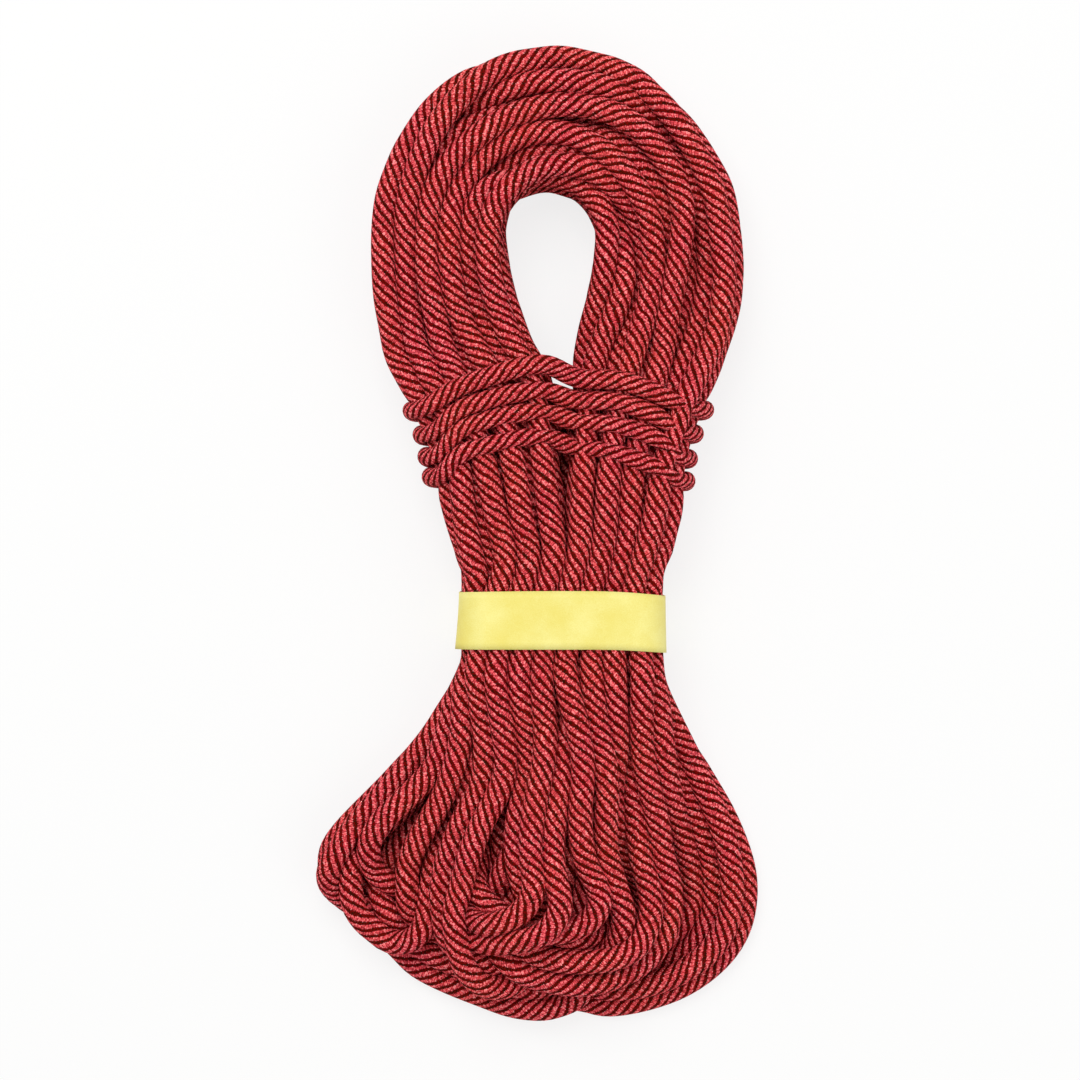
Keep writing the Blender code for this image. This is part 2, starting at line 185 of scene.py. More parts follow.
# the outside of the hank seen from above, from the top down each side, as read off the photo's silhouette at
# rows mostly 6 or 12 mm apart and turned into millimetres, with changes
outlineRight = ((8.6, 195.6), (31.4, 190.4), (43, 184.4), (48.2, 178.4), (55.4, 172.4), (61.4, 166.4),
                (69.8, 154.4), (77, 142.4), (80.4, 130.4), (83, 118.4), (83, 106.4), (81.8, 94.4),
                (78.6, 82.4), (74.2, 70.4), (71, 60), (70, 49.6), (67, 40), (64.6, 30), (62.5, 21),
                (59.4, 12), (55.8, 4.4), (53, -7.6), (50.6, -15), (49.6, -22), (49.6, -49), (49.9, -55.6),
                (52.2, -61.6), (58.2, -73.6), (64.2, -85.6), (73.4, -97.6), (79, -109.6), (85.8, -121.6),
                (87, -127.6), (89, -139.6), (89, -145.6), (87.8, -151.6), (86.6, -157.6), (83.8, -163.6),
                (80.6, -169.6), (76.6, -175.6), (71, -181.6), (63, -187.6), (45, -193.0), (30, -195.4),
                (14.6, -190.5))
outlineLeft = ((-21.4, 190.4), (-32.2, 184.4), (-40.2, 178.4), (-46.2, 172.4), (-50.6, 166.4),
               (-57.8, 154.4), (-62.6, 142.4), (-66.6, 130.4), (-68.2, 118.4), (-67.4, 106.4),
               (-65.8, 94.4), (-63.4, 82.4), (-61.4, 70.4), (-57, 58), (-55, 48), (-51, 36), (-49, 28),
               (-46, 20.4), (-40.4, 14), (-36.6, 4.4), (-33.4, -7.6), (-31.2, -15), (-30.6, -22),
               (-30.6, -50), (-34.2, -57.6), (-36.6, -61.6), (-43.8, -73.6), (-53, -85.6), (-65, -97.6),
               (-77.8, -109.6), (-86.6, -121.6), (-88.8, -127.6), (-89, -139.6), (-85.4, -145.6),
               (-77.4, -151.6), (-73.8, -157.6), (-65.8, -163.6), (-59.4, -169.6), (-54.2, -175.6),
               (-46.2, -181.6), (-31, -187.6), (-13.4, -193.6), (4, -195.4))
eyeOutline = ((3.8, 138.8), (14.2, 136.2), (19.4, 130.4), (21.8, 124.4), (22.6, 118.4), (21.8, 106.4),
              (19, 94.4), (16, 84), (14.2, 74), (12, 68), (8, 66), (3, 69), (-1.8, 76.4), (-4.2, 82.4),
              (-8.2, 94.4), (-11.4, 106.4), (-13, 118.4), (-13, 124.4), (-11.8, 130.4), (-5.8, 136.4))

# bights on the right, by place from the outermost, 0, to the middle one on top, 10
rightBights = {
    0: ((66, -92, 5.5), (77.5, -115, 5), (84, -140, 5), (79.5, -163, 5), (60, -182.5, 5), (34, -190.3, 5),
        (14, -188, 5.5), (-2, -178, 7), (-10, -158, 11), (-4, -124, 13), (13, -88, 14)),
    1: ((61, -92, 12), (72, -115, 11.5), (77.3, -140, 11.5), (74, -160, 11.5), (58, -176.5, 11),
        (34, -184.3, 10), (12, -181.5, 8), (-4, -169, 10), (-8, -148, 15), (-2, -118, 20), (5, -88, 22)),
    2: ((56, -92, 17), (66, -116, 9), (70.5, -140, 5), (67.5, -157, 5), (55, -171, 5), (34, -177.5, 5.5),
        (12, -175, 7), (-1, -162, 10), (-3, -144, 15), (2, -118, 20), (13.5, -88, 22)),
    3: ((49, -92, 23), (55, -116, 14), (60.3, -138, 7), (60, -153, 5), (49, -166.5, 5.5), (33, -171.5, 7),
        (12, -168.5, 9), (1, -157, 12), (0, -140, 16), (8, -116, 20), (22, -88, 22)),
    4: ((41.5, -92, 29), (43.5, -110, 27), (46, -123, 25), (50.5, -138, 23), (51.8, -149, 22),
        (48.5, -160, 21.5), (40, -169, 21.5), (28, -173.5, 22), (14, -173.5, 22), (0, -170, 21),
        (-10, -162, 18), (-13, -147, 15), (-2, -122, 19), (30.5, -88, 22)),
    5: ((33, -92, 31.5), (33.5, -110, 30), (35.5, -124, 28), (40.5, -139, 26), (42, -150, 25),
        (38.5, -160, 24.5), (29, -166, 24.5), (15, -168, 24), (3, -166.5, 22), (-7, -160, 19),
        (-9, -147, 15), (0, -122, 14), (21.5, -88, 14)),
    6: ((26.5, -92, 26), (29, -113, 23), (34, -130, 19), (39.5, -143, 15), (39.5, -155, 13), (30, -163, 13),
        (16, -163, 14), (4, -154, 14), (2, -136, 12), (12, -113, 11), (30, -88, 14)),
    7: ((20, -92, 33.5), (21, -110, 32), (22.5, -124, 30), (27.5, -138, 27), (31.5, -149, 24),
        (29, -160, 20), (19, -168, 16.5), (5, -169, 15), (-6, -161, 14), (-7, -146, 13), (4, -122, 13),
        (38.5, -88, 14)),
    8: ((10.5, -92, 35), (10.5, -112, 34), (14, -129, 33), (20.5, -143, 31), (21, -154, 30),
        (14, -161.5, 29), (3, -165.5, 28), (-9, -165, 26), (-19, -159, 22), (-21, -147, 17),
        (-10, -128, 10), (10, -108, 14), (26, -88, 5)),
    9: ((7, -92, 27), (6, -110, 27), (6, -125, 29), (9.5, -137, 32), (13, -145, 33), (11, -152.5, 33),
        (2, -156, 32), (-8, -158, 29), (-18, -158, 24), (-26, -150, 18), (-22, -137, 11), (0, -128, 6),
        (20, -118, 6), (34.5, -88, 5)),
    10: ((1.5, -92, 36.5), (-0.5, -110, 36), (0.8, -124, 37), (3, -134, 38), (-1, -143, 38),
        (-10, -147.5, 36), (-20, -148.5, 30), (-29, -143, 23), (-28, -132, 16), (-14, -129, 9),
        (2, -139, 5), (15, -150, 5), (28, -151, 5), (37, -138, 5), (41, -115, 5), (43, -88, 5)),
}
# and on the left, from the outermost, 0, to the middle one, 9
leftBights = {
    0: ((-54, -92, 8), (-67, -106, 13), (-77.5, -117.5, 17.5), (-84, -126.5, 15), (-83.5, -136.5, 9.5),
        (-74.5, -143.5, 5.5), (-58, -142.5, 5), (-43, -135, 5), (-28, -123, 8), (-17, -108, 15),
        (-12, -88, 22)),
    1: ((-49.5, -92, 15), (-62, -108, 20), (-74, -123, 21), (-81.5, -135, 18), (-81.5, -144, 10),
        (-72, -149, 5.2), (-54, -149.5, 5), (-34, -147, 5), (-22, -137, 8), (-19, -116, 15),
        (-20.5, -88, 22)),
    2: ((-41, -92, 15), (-56, -108, 18), (-68, -119, 20), (-75, -130, 19), (-76, -142, 16),
        (-71.5, -153, 14), (-62, -161, 13), (-52, -163, 13), (-42, -160, 15), (-37, -149, 17),
        (-33, -136, 15), (-26, -116, 14), (-12.5, -88, 14)),
    3: ((-45, -92, 5), (-58, -112, 5), (-68, -134, 5), (-68.5, -156, 5), (-53, -172.5, 5), (-31, -183.5, 5),
        (-8, -190, 5), (4, -189.5, 5.5), (9.5, -181, 8), (6, -168, 11), (2, -145, 14), (-2, -118, 18),
        (-3.5, -88, 22)),
    4: ((-36, -92, 5.5), (-48, -113, 5.5), (-58, -134, 5.5), (-59, -151, 5.5), (-47.5, -165, 5.5),
        (-26, -176, 5.5), (-8, -181.5, 6), (2, -179, 8.5), (5, -167, 12), (4, -146, 14), (4, -118, 14),
        (4.5, -88, 14)),
    5: ((-34, -92, 20.5), (-50, -108, 22), (-62, -118, 22), (-69, -128, 19.5), (-68, -139, 16),
        (-62, -147, 14), (-54, -150, 13), (-44, -148, 12.5), (-34, -141, 12), (-24, -128, 12),
        (-14, -110, 13), (-4, -88, 14)),
    6: ((-28, -92, 26.5), (-38.5, -109, 26), (-47, -121, 24.5), (-52.5, -133, 21.5), (-51.5, -145, 18.5),
        (-45, -153.5, 16), (-36, -155.5, 14), (-26, -152, 12), (-17, -142, 12), (-15, -122, 13),
        (-21, -88, 14)),
    7: ((-20.5, -92, 31), (-29, -111, 29), (-35, -127, 27), (-37.5, -142, 25), (-35, -156, 23),
        (-27, -166, 21), (-16, -170.5, 19), (-6, -167, 17), (0, -156, 14), (-2, -138, 11), (-7, -116, 7),
        (-9, -88, 5)),
    8: ((-13, -92, 34), (-19.5, -112, 32.5), (-24.5, -132, 31), (-27, -150, 29), (-26, -165, 27),
        (-20, -175, 23.5), (-11, -177.5, 19), (-3, -171, 15), (-2, -157, 12), (-7, -138, 9), (-13, -116, 7),
        (-18, -88, 5)),
    9: ((-5, -92, 35.5), (-10, -110, 34.5), (-15, -127, 33), (-17, -142, 29), (-13, -154, 24),
        (-4, -160, 19), (5, -157, 15), (7, -146, 12), (0, -133, 9), (-16, -116, 6), (-27, -88, 5)),
}

# where each strand lies in its leg: share of the way from the inside to the outside, and from the underside
# to the top; "out" strands start the bights and "back" strands end them
leftOut = {9: (0.03, 1.0), 8: (0.32, 1.0), 7: (0.61, 1.0), 6: (0.93, 1.0), 4: (0.5, 0.75), 2: (0.75, 0.75),
           5: (1.0, 0.75), 3: (0.7, 0.5), 1: (1.0, 0.5), 0: (1.0, 0.25), 10: (0.4, 0.0)}
leftBack = {9: (0.75, 0.25), 8: (1.0, 0.0), 7: (0.5, 0.25), 6: (0.7, 0.0), 2: (0.25, 0.25), 5: (0.4, 0.5),
            4: (0.0, 0.25), 1: (0.1, 0.5), 3: (0.0, 0.75), 0: (0.25, 0.75), -1: (0.1, 0.0)}
rightOut = {10: (0.03, 1.0), 8: (0.32, 1.0), 7: (0.61, 1.0), 6: (0.93, 1.0), 9: (0.25, 0.75), 5: (0.75, 0.75),
            4: (1.0, 0.75), 2: (0.72, 0.5), 3: (1.0, 0.5), 1: (1.0, 0.25), 0: (1.0, 0.0)}
rightBack = {10: (0.7, 0.0), 9: (0.4, 0.0), 8: (0.1, 0.0), 7: (0.75, 0.25), 6: (0.5, 0.25), 5: (0.25, 0.25),
             4: (0.4, 0.5), 3: (0.5, 0.75), 2: (0.1, 0.5), 1: (0.0, 0.75), 0: (0.0, 0.25)}

# how the strands stray from those places, in a few slow waves
wander = {
    "seed": 11,
    "across": 0.07, "high": 0.16,       # shares of the leg's width and height
    "lengths": (110, 240), "strengths": (0.4, 1.0),
    "quietAt": (-50, -20, 30, 60, 85), "quiet": (0, 0.1, 0.25, 0.6, 1),     # how much of it by place along y
}
# where over the crown a turn changes from its left to its right place, and over what share of it
changes = {20: (0.52, 0.35), 18: (0.5, 0.4), 16: (0.6, 0.6), 10: (0.4, 0.6), 4: (0.55, 0.5)}


def legSection(y):
    heights = [row[0] for row in legRows][::-1]
    return [float(np.interp(y, heights, [row[k] for row in legRows][::-1])) for k in range(1, 8)]


def roundedDrop(gap, size):
    # how far a rounded edge has dropped where a strand's side is this far from it
    if gap >= size:
        return 0.0
    share = 1 - gap / size
    return size * (1 - math.sqrt(max(0.0, 1 - 0.92 * share * share)))


def circulate(x, z, share):
    # carries a strand round the middle of the waist, so that the right leg's strands ride over the left's
    half, tall = waist["halfWidth"] - radius, (waist["high"] - waist["low"]) / 2 - radius
    middle = (waist["high"] + waist["low"]) / 2
    a, b = (x - waist["x"]) / half, (z - middle) / tall
    ring = max(abs(a), abs(b), 1e-6)
    a, b = a / ring, b / ring
    if a > 0.9999:
        place = b + 1
    elif b > 0.9999:
        place = 3 - a
    elif a < -0.9999:
        place = 5 - b
    else:
        place = 7 + a
    place = (place + waist["turn"] * share) % 8
    if place < 2:
        a, b = 1, place - 1
    elif place < 4:
        a, b = 3 - place, 1
    elif place < 6:
        a, b = -1, 5 - place
    else:
        a, b = place - 7, -1
    return waist["x"] + a * ring * half, middle + b * ring * tall


def legPoint(side, across, high, y):
    outerLeft, innerLeft, innerRight, outerRight, low, top, soft = legSection(y)
    inner, outer = (innerLeft, outerLeft) if side < 0 else (innerRight, outerRight)
    inner += ((innerLeft + innerRight) / 2 - inner) * max(0.0, 1 - high / legShape["closedBelow"])
    width = abs(outer - inner)
    reach = radius + (width - 2 * radius) * across
    drop = roundedDrop(width - reach - radius, legShape["edgeDrop"])
    if soft:
        drop += roundedDrop(reach - radius, soft)
    z = low + radius + (top - low - 2 * radius - drop) * high
    x = inner + math.copysign(reach, outer - inner)
    if y < waist["turnFrom"]:
        x, z = circulate(x, z, smooth((waist["turnFrom"] - y) / (waist["turnFrom"] - waist["turnTo"])))
    return (x, y, z)


def crownPoint(across, high, angle):
    c, s = math.cos(angle), math.sin(angle)
    y = loopShape["y"]
    inner = (eyeShape["x"] + (eyeShape["halfWidth"] + radius) * c, y + (eyeShape["rise"] + radius) * s)
    reach = (loopShape["halfWidth"] - radius) * (1 - loopShape["pinch"] * math.sin(2 * angle) ** 2 * (c > 0))
    outer = (loopShape["x"] + reach * c, y + (loopShape["rise"] - radius) * s)
    (outside, inside), width = loopShape["edgeDrop"], loopShape["edgeWidth"]
    drop = roundedDrop((1 - across) * width, outside) + roundedDrop(across * width, inside)
    z = radius + (loopShape["height"] - loopShape["fall"] * s - 2 * radius - drop) * high
    return (inner[0] * (1 - across) + outer[0] * across, inner[1] * (1 - across) + outer[1] * across, z)


legStops = [104, 90, 76, 62, 48, 34, 20, 6, -8, -20, -30, -40, -50]
crownSteps = 12


def smooth(t):
    t = min(1.0, max(0.0, t))
    return t * t * (3 - 2 * t)


def turnPath(turn, draw):
    # up the left leg, over the crown and down the right leg
    place = 10 - turn // 2
    left, right = (leftBack[place - 1], rightBack[place]) if turn % 2 else (leftOut[place], rightOut[place])
    where, span = changes.get(turn, (0.5, 1.0))
    ranges = ((0, 2 * math.pi), wander["lengths"], wander["strengths"])
    waves = [[draw.uniform(*limits) for limits in ranges] for _ in range(4)]
    stops = [(-1, y, y - 118, 0.0) for y in legStops[::-1]]
    stops += [(0, math.pi * (1 - k / crownSteps), 160 * k / crownSteps, k / crownSteps)
              for k in range(1, crownSteps)]
    stops += [(1, y, 278 - y, 1.0) for y in legStops]
    points = []
    for side, at, along, share in stops:
        mix = smooth((share - where) / span + 0.5)
        quiet = 1.0 if side == 0 else float(np.interp(at, wander["quietAt"], wander["quiet"]))
        swing = [size * math.sin(start + along / length * 2 * math.pi) for start, length, size in waves]
        u = left[0] * (1 - mix) + right[0] * mix + quiet * wander["across"] * sum(swing[:2])
        v = left[1] * (1 - mix) + right[1] * mix + quiet * wander["high"] * sum(swing[2:])
        u, v = min(1.0, max(0.0, u)), min(1.0, max(0.0, v))
        points.append(crownPoint(u, v, at) if side == 0 else legPoint(side, u, v, at))
    return points


binding = {
    # crest of each turn from the left to the right
    "x": (-33.4, -20.4, -7.4, 2.5, 7.4, 11.2, 16.5, 27.3, 36, 51),
    "y": ((57.6, 62.2, 66.2, 67.6, 66.4, 63.6, 61.8, 61.6, 60.0, 54.0),
          (48.2, 53.2, 56.3, 57.2, 56.0, 54.2, 53.2, 53.0, 51.4, 44.6),
          (40.0, 45.4, 48.2, 48.8, 47.6, 45.8, 44.8, 44.2, 42.2, 35.6),
          (30.8, 35.4, 38.4, 39.0, 37.8, 35.8, 34.4, 33.6, 30.8, 24.8)),
    "z": (43.4, 44.8, 44.4, 41.6, 38.6, 38.0, 40.2, 44.2, 45.0, 43.8),
    # x and y where each turn goes round the side of the legs, and how far it climbs there
    "left": ((-50.3, 48.0), (-46.3, 38.4), (-44.3, 29.6), (-42.7, 21.6)),
    "right": ((66.1, 49.6), (62.1, 40.2), (59.7, 30.2), (58.9, 21.2)),
    "climbLeft": 3, "climbRight": 0.8,
    # a side's half circle: height of its middle, its radius, and angles of the points on it
    "sideMiddle": 24.4, "sideRadius": 19.85, "sideAngles": (-90, -58, -32, -4, 24, 50),
    "start": ((2, 53, 5.0), (22, 51.5, 4.9)),
    "away": ((7, -6, 6.5), (11, -22, 7.3)),  # from the last turn to the rope's second end
}


def sideArc(x, y, inward, climb, downwards):
    # the binding's way round a side of the legs, as half a circle
    size, angles = binding["sideRadius"], binding["sideAngles"]
    arc = []
    for a in angles:
        angle = math.radians(a)
        arc.append((x - inward * size * (1 - math.cos(angle)),
                    y + climb * (a - angles[0]) / (angles[-1] - angles[0]),
                    binding["sideMiddle"] + size * math.sin(angle)))
    return arc[::-1] if downwards else arc


def bindingPath():
    points = list(binding["start"])
    for k, crest in enumerate(binding["y"]):
        (xLeft, yLeft), (xRight, yRight) = binding["left"][k], binding["right"][k]
        if k:
            # across the underside, from the turn above
            above = binding["left"][k - 1][1]
            points += [(-10, above - 3.5, 5.0), (8, (above + yRight) / 2 - 1 + 0.55 * k, 4.9),
                       (28, yRight + 0.5, 5.0)]
        points += sideArc(xRight, yRight, 1, binding["climbRight"], False)
        points += list(zip(binding["x"], crest, binding["z"]))[::-1]
        points += sideArc(xLeft, yLeft, -1, binding["climbLeft"], True)
    points += [(xLeft + 32, yLeft - 3.5, 5.0), (0, 10, 4.9)]
    return points


def ropeRoute():
    draw = np.random.default_rng(wander["seed"])
    (x, yEnd, yStart, z), (xOther, _, _, zOther) = tails
    stops = np.linspace(yEnd, yStart, 4)
    points = [(x, y, z) for y in stops]
    for turn in range(rope["turns"]):
        place = 10 - turn // 2
        path = turnPath(turn, draw)
        if turn % 2:
            path = path[::-1]
        if turn == 0:
            path = path[1:]                       # the end of the rope lies where its first point would be
        if turn == rope["turns"] - 1:
            points += [point for k, point in enumerate(path)
                       if k < len(path) - len(legStops) or point[1] > 60]
            break
        points += path
        if turn % 2 == 0:
            points += rightBights[place]
        else:
            points += leftBights[place - 1][::-1]
    bindingStart = len(points)
    points += bindingPath()
    bindingEnd = len(points)
    points += [*binding["away"], (xOther - 1, -36, 7.0)]
    points += [(xOther, y, zOther) for y in stops[::-1]]
    return points, bindingStart, bindingEnd


def alongLine(line):
    return np.concatenate([[0], np.cumsum(np.linalg.norm(np.diff(line, axis=0), axis=1))])


def evenly(line, step):
    # the line again with its points evenly spaced, and how far along it they lie
    along = alongLine(line[:, :3])
    at = np.linspace(0, along[-1], int(round(along[-1] / step)) + 1)
    return np.stack([np.interp(at, along, line[:, k]) for k in range(line.shape[1])], 1), at


def throughPoints(points, step):
    # centripetal Catmull-Rom curve through the points, evenly spaced
    ends = np.vstack([2 * points[0] - points[1], points, 2 * points[-1] - points[-2]])
    pieces = []
    for a, b, c, e in zip(ends[:-3], ends[1:-2], ends[2:-1], ends[3:]):
        count = max(3, int(np.linalg.norm((c - b)[:3]) / 1.5))
        t1 = np.linalg.norm((b - a)[:3]) ** 0.5
        t2 = t1 + np.linalg.norm((c - b)[:3]) ** 0.5
        t3 = t2 + np.linalg.norm((e - c)[:3]) ** 0.5
        t = np.linspace(t1, t2, count, endpoint=False)[:, None]
        ab = (t1 - t) / t1 * a + t / t1 * b
        bc = (t2 - t) / (t2 - t1) * b + (t - t1) / (t2 - t1) * c
        ce = (t3 - t) / (t3 - t2) * c + (t - t2) / (t3 - t2) * e
        abc = (t2 - t) / t2 * ab + t / t2 * bc
        bce = (t3 - t) / (t3 - t1) * bc + (t - t1) / (t3 - t1) * ce
        pieces.append((t2 - t) / (t2 - t1) * abc + (t - t1) / (t2 - t1) * bce)
    return evenly(np.vstack([*pieces, points[-1][None]]), step)[0]


def outlineField(outline):
    # signed distance to a closed outline on a grid, negative inside, with its slopes
    step, pad = 2.0, 30
    xs, ys = np.arange(-89 - pad, 89 + pad, step), np.arange(-196 - pad, 196 + pad, step)
    gx, gy = np.meshgrid(xs, ys, indexing="ij")
    corners = np.array(outline, float)
    best, inside = np.full(gx.shape, 1e9), np.zeros(gx.shape, bool)
    for (x1, y1), (x2, y2) in zip(corners, np.roll(corners, -1, 0)):
        dx, dy = x2 - x1, y2 - y1
        share = np.clip(((gx - x1) * dx + (gy - y1) * dy) / (dx * dx + dy * dy + 1e-12), 0, 1)
        best = np.minimum(best, np.hypot(gx - x1 - share * dx, gy - y1 - share * dy))
        inside ^= ((y1 > gy) != (y2 > gy)) & (gx < dx * (gy - y1) / (dy + 1e-12) + x1)
    field = np.where(inside, -best, best)
    for _ in range(2):
        sides = field[:-2, 1:-1] + field[2:, 1:-1] + field[1:-1, :-2] + field[1:-1, 2:]
        field[1:-1, 1:-1] = (field[1:-1, 1:-1] * 4 + sides) / 8
    return (field, np.gradient(field, step, axis=0), np.gradient(field, step, axis=1)), xs[0], ys[0], step


def readField(field, x, y):
    layers, x0, y0, step = field
    i = np.clip((x - x0) / step, 0, layers[0].shape[0] - 1.001)
    j = np.clip((y - y0) / step, 0, layers[0].shape[1] - 1.001)
    a, b = i.astype(int), j.astype(int)
    u, v = i - a, j - b
    return [g[a, b] * (1 - u) * (1 - v) + g[a + 1, b] * u * (1 - v) + g[a, b + 1] * (1 - u) * v
            + g[a + 1, b + 1] * u * v for g in layers]


def closePairs(points, reach, apart):
    # every two points nearer than reach and more than apart places from each other along the rope
    q = points.astype(np.float32)
    square = (q * q).sum(1)
    first, second = [], []
    for start in range(0, len(q), 1000):
        end = min(len(q), start + 1000)
        gap = square[start:end, None] + square[None, start:] - 2 * (q[start:end] @ q[start:].T)
        i, j = np.nonzero(gap < reach * reach)
        keep = j - i > apart
        first.append((i + start)[keep])
        second.append((j + start)[keep])
    return np.concatenate(first), np.concatenate(second)


def waistBox(p, held):
    # keeps the strands in the waist inside a rounded box, so that the paper band slides over them
    centre, half = waist["x"], waist["halfWidth"] - radius
    middle, tall = (waist["low"] + waist["high"]) / 2, (waist["high"] - waist["low"]) / 2 - radius
    corner = waist["corner"] - radius
    near = np.minimum(waist["top"] + waist["ease"] - p[:, 1], p[:, 1] - waist["foot"] + waist["ease"])
    near = np.clip(near / waist["ease"], 0, 1)
    w = (near > 0) & ~held
    loose = (1 - near[w]) * waist["slack"]
    x, z = p[w, 0] - centre, p[w, 2] - middle
    qx, qz = np.abs(x) - (half + loose - corner), np.abs(z) - (tall + loose - corner)
    bend = np.hypot(np.maximum(qx, 0), np.maximum(qz, 0))
    out = np.clip(bend - corner + np.minimum(np.maximum(qx, qz), 0), 0, 4)
    past = (qx > 0) | (qz > 0)
    nx = np.where(past, np.maximum(qx, 0) / (bend + 1e-9), qx > qz) * np.sign(x)
    nz = np.where(past, np.maximum(qz, 0) / (bend + 1e-9), qz >= qx) * np.sign(z)
    p[w, 0] -= nx * out * waist["push"]
    p[w, 2] -= nz * out * waist["push"]


cleft = {
    # half width of the gap between the legs by place along y, and its middle
    "halfAt": (10, 24, 40, 60, 68), "half": (-4, 1.9, 2.2, 3.6, 4),
    "middleAt": (8, 20, 58, 70), "middle": (10.2, 10.3, 10.3, 9.5),
    "floor": 21,              # strands below this height close it
    "top": 68,
}


def openCleft(p, freedom):
    # keeps the upper strands of the two legs out of the gap between them
    half = np.interp(p[:, 1], cleft["halfAt"], cleft["half"])
    aside = p[:, 0] - np.interp(p[:, 1], cleft["middleAt"], cleft["middle"])
    within = (p[:, 2] > cleft["floor"]) * (half > 0) * (p[:, 1] < cleft["top"])
    p[:, 0] += np.sign(aside) * (np.clip(half + radius - np.abs(aside), 0, 3) * within) * 0.6 * freedom


settling = {
    "step": 4.9,              # mm between the points of the rope
    "rounds": 620,
    "contact": 0.93,          # share of the diameter left between two pressed strands
    "bindingDepth": 2.6,      # mm between a binding turn's middle line and that of a strand under it
    "sleeve": (50, 1.8),      # mm, length and extra thickness at the two ends
    "searchEvery": 10, "searchReach": 5.0,     # rounds, and mm beyond touching
    "push": (0.35, 0.15),     # share of an overlap that a round clears, and what is added by the last one
    "mostPush": 1.5,          # mm
    "stretch": 0.2,
    "fair": 0.35,
    "keepReach": (3, 6), "keep": 0.045,        # how firmly a strand keeps to the curve that it is laid in
    "tightestRadius": 15.5,
    "bendReach": (1, 2, 3, 4), "bend": (0.2, 0.25),
    "hold": (0.05, 0.003),    # pull towards the first place, in the first round and in the last
    "bindingHold": 0.04,
    "sink": 0.03,             # mm in each round
    "edge": 0.7,              # share of the way back inside the outlines
}


def offMiddle(p, reach):
    # from each point to halfway between the points on its two sides
    return (p[:-2 * reach] + p[2 * reach:]) / 2 - p[reach:-reach]


def spread(move, reach, p):
    # each point moves, and the points on its two sides move back half as far
    shift = np.zeros_like(p)
    shift[reach:-reach] += move
    shift[:-2 * reach] -= move / 2
    shift[2 * reach:] -= move / 2
    return shift


def settle(points, bindingStart, bindingEnd):
    # presses the strands apart, down and inside the hank's outline until they lie beside each other
    mark = np.zeros(len(points))
    mark[bindingStart:bindingEnd] = 1
    step = settling["step"]
    line = throughPoints(np.column_stack([np.array(points, float), mark]), step)
    p, mark = line[:, :3].copy(), np.clip(line[:, 3], 0, 1)
    plan, n = p.copy(), len(p)
    sag = {reach: offMiddle(plan, reach) for reach in settling["keepReach"]}
    outer, eye = outlineField(outlineLeft + outlineRight[::-1]), outlineField(eyeOutline)
    # the rope's two ends lie in fixed places, and the strand beside them gets its freedom bit by bit
    ends = int((tails[0][2] - tails[0][1]) / step) + 1
    freedom = np.ones(n)
    freedom[:ends] = 0
    freedom[ends:ends + 7] = np.linspace(0.1, 0.9, 7)
    freedom = np.minimum(freedom, freedom[::-1])
    free, held = freedom[:, None], freedom == 0
    rest = np.linalg.norm(np.diff(p, axis=0), axis=1).mean()
    size = np.full(n, rope["diameter"] * settling["contact"])
    size += (2 * settling["bindingDepth"] - 2 * size) * mark
    sleeve = int(settling["sleeve"][0] / step)
    size[:sleeve] += settling["sleeve"][1]
    size[-sleeve:] += settling["sleeve"][1]
    bound = mark > 0.5
    halfThick = np.where(bound, rope["bindingDiameter"] / 2, radius)
    for turnOver in range(settling["rounds"]):
        share = turnOver / settling["rounds"]
        if turnOver % settling["searchEvery"] == 0:
            first, second = closePairs(p, size.max() + settling["searchReach"], 4)
            wanted = (size[first] + size[second]) / 2
        delta = p[first] - p[second]
        gap = np.sqrt((delta * delta).sum(1)) + 1e-9
        over = wanted - gap
        m = over > 0
        i, j = first[m], second[m]
        clear, clearMore = settling["push"]
        push = delta[m] / gap[m, None] * (over[m, None] * (clear + clearMore * share))
        move = np.stack([np.bincount(i, push[:, k], n) - np.bincount(j, push[:, k], n) for k in range(3)], 1)
        move *= np.minimum(1, settling["mostPush"] / (np.linalg.norm(move, axis=1) + 1e-9))[:, None]
        p += move * free
        for _ in range(2):
            span = p[1:] - p[:-1]
            length = np.linalg.norm(span, axis=1) + 1e-9
            pull = span * ((length - rest) / length * settling["stretch"])[:, None]
            shift = np.zeros_like(p)
            shift[:-1] += pull
            shift[1:] -= pull
            p += shift * free
        fair = p.copy()
        fair[2:-2] = (-p[:-4] + 4 * p[1:-3] + 4 * p[3:-1] - p[4:]) / 6
        p += (fair - p) * free * settling["fair"]
        for reach in settling["keepReach"]:
            p += spread((offMiddle(p, reach) - sag[reach]) * settling["keep"], reach, p) * free
        for reach in settling["bendReach"]:
            # no tighter than the tightest bend, over each few points
            middle = offMiddle(p, reach)
            bend = np.linalg.norm(middle, axis=1)
            most = (reach * rest) ** 2 / (2 * settling["tightestRadius"])
            ease, easeMore = settling["bend"]
            past = np.clip((bend - most) / (bend + 1e-9), 0, 1) * (ease + easeMore * share)
            p += spread(middle * past[:, None], reach, p) * free
        early, late = settling["hold"]
        hold = early * (1 - share) ** 2 + late
        hold = np.where(bound, np.maximum(hold, settling["bindingHold"]), hold)[:, None]
        p += (plan - p) * hold
        p[~held, 2] -= settling["sink"]
        p[:, 2] = np.maximum(p[:, 2], radius)
        far, gx, gy = readField(outer, p[:, 0], p[:, 1])
        out = np.clip(far + halfThick, 0, 3) * freedom * settling["edge"]
        p[:, 0] -= gx * out
        p[:, 1] -= gy * out
        far, gx, gy = readField(eye, p[:, 0], p[:, 1])
        out = np.clip(radius - far, 0, 3) * freedom * ~bound * settling["edge"]
        p[:, 0] += gx * out
        p[:, 1] += gy * out
        waistBox(p, held)
        openCleft(p, freedom * ~bound)
        p = p.round(3)  # so that last digits, which differ between machines, can't grow into another pile
    return p, mark


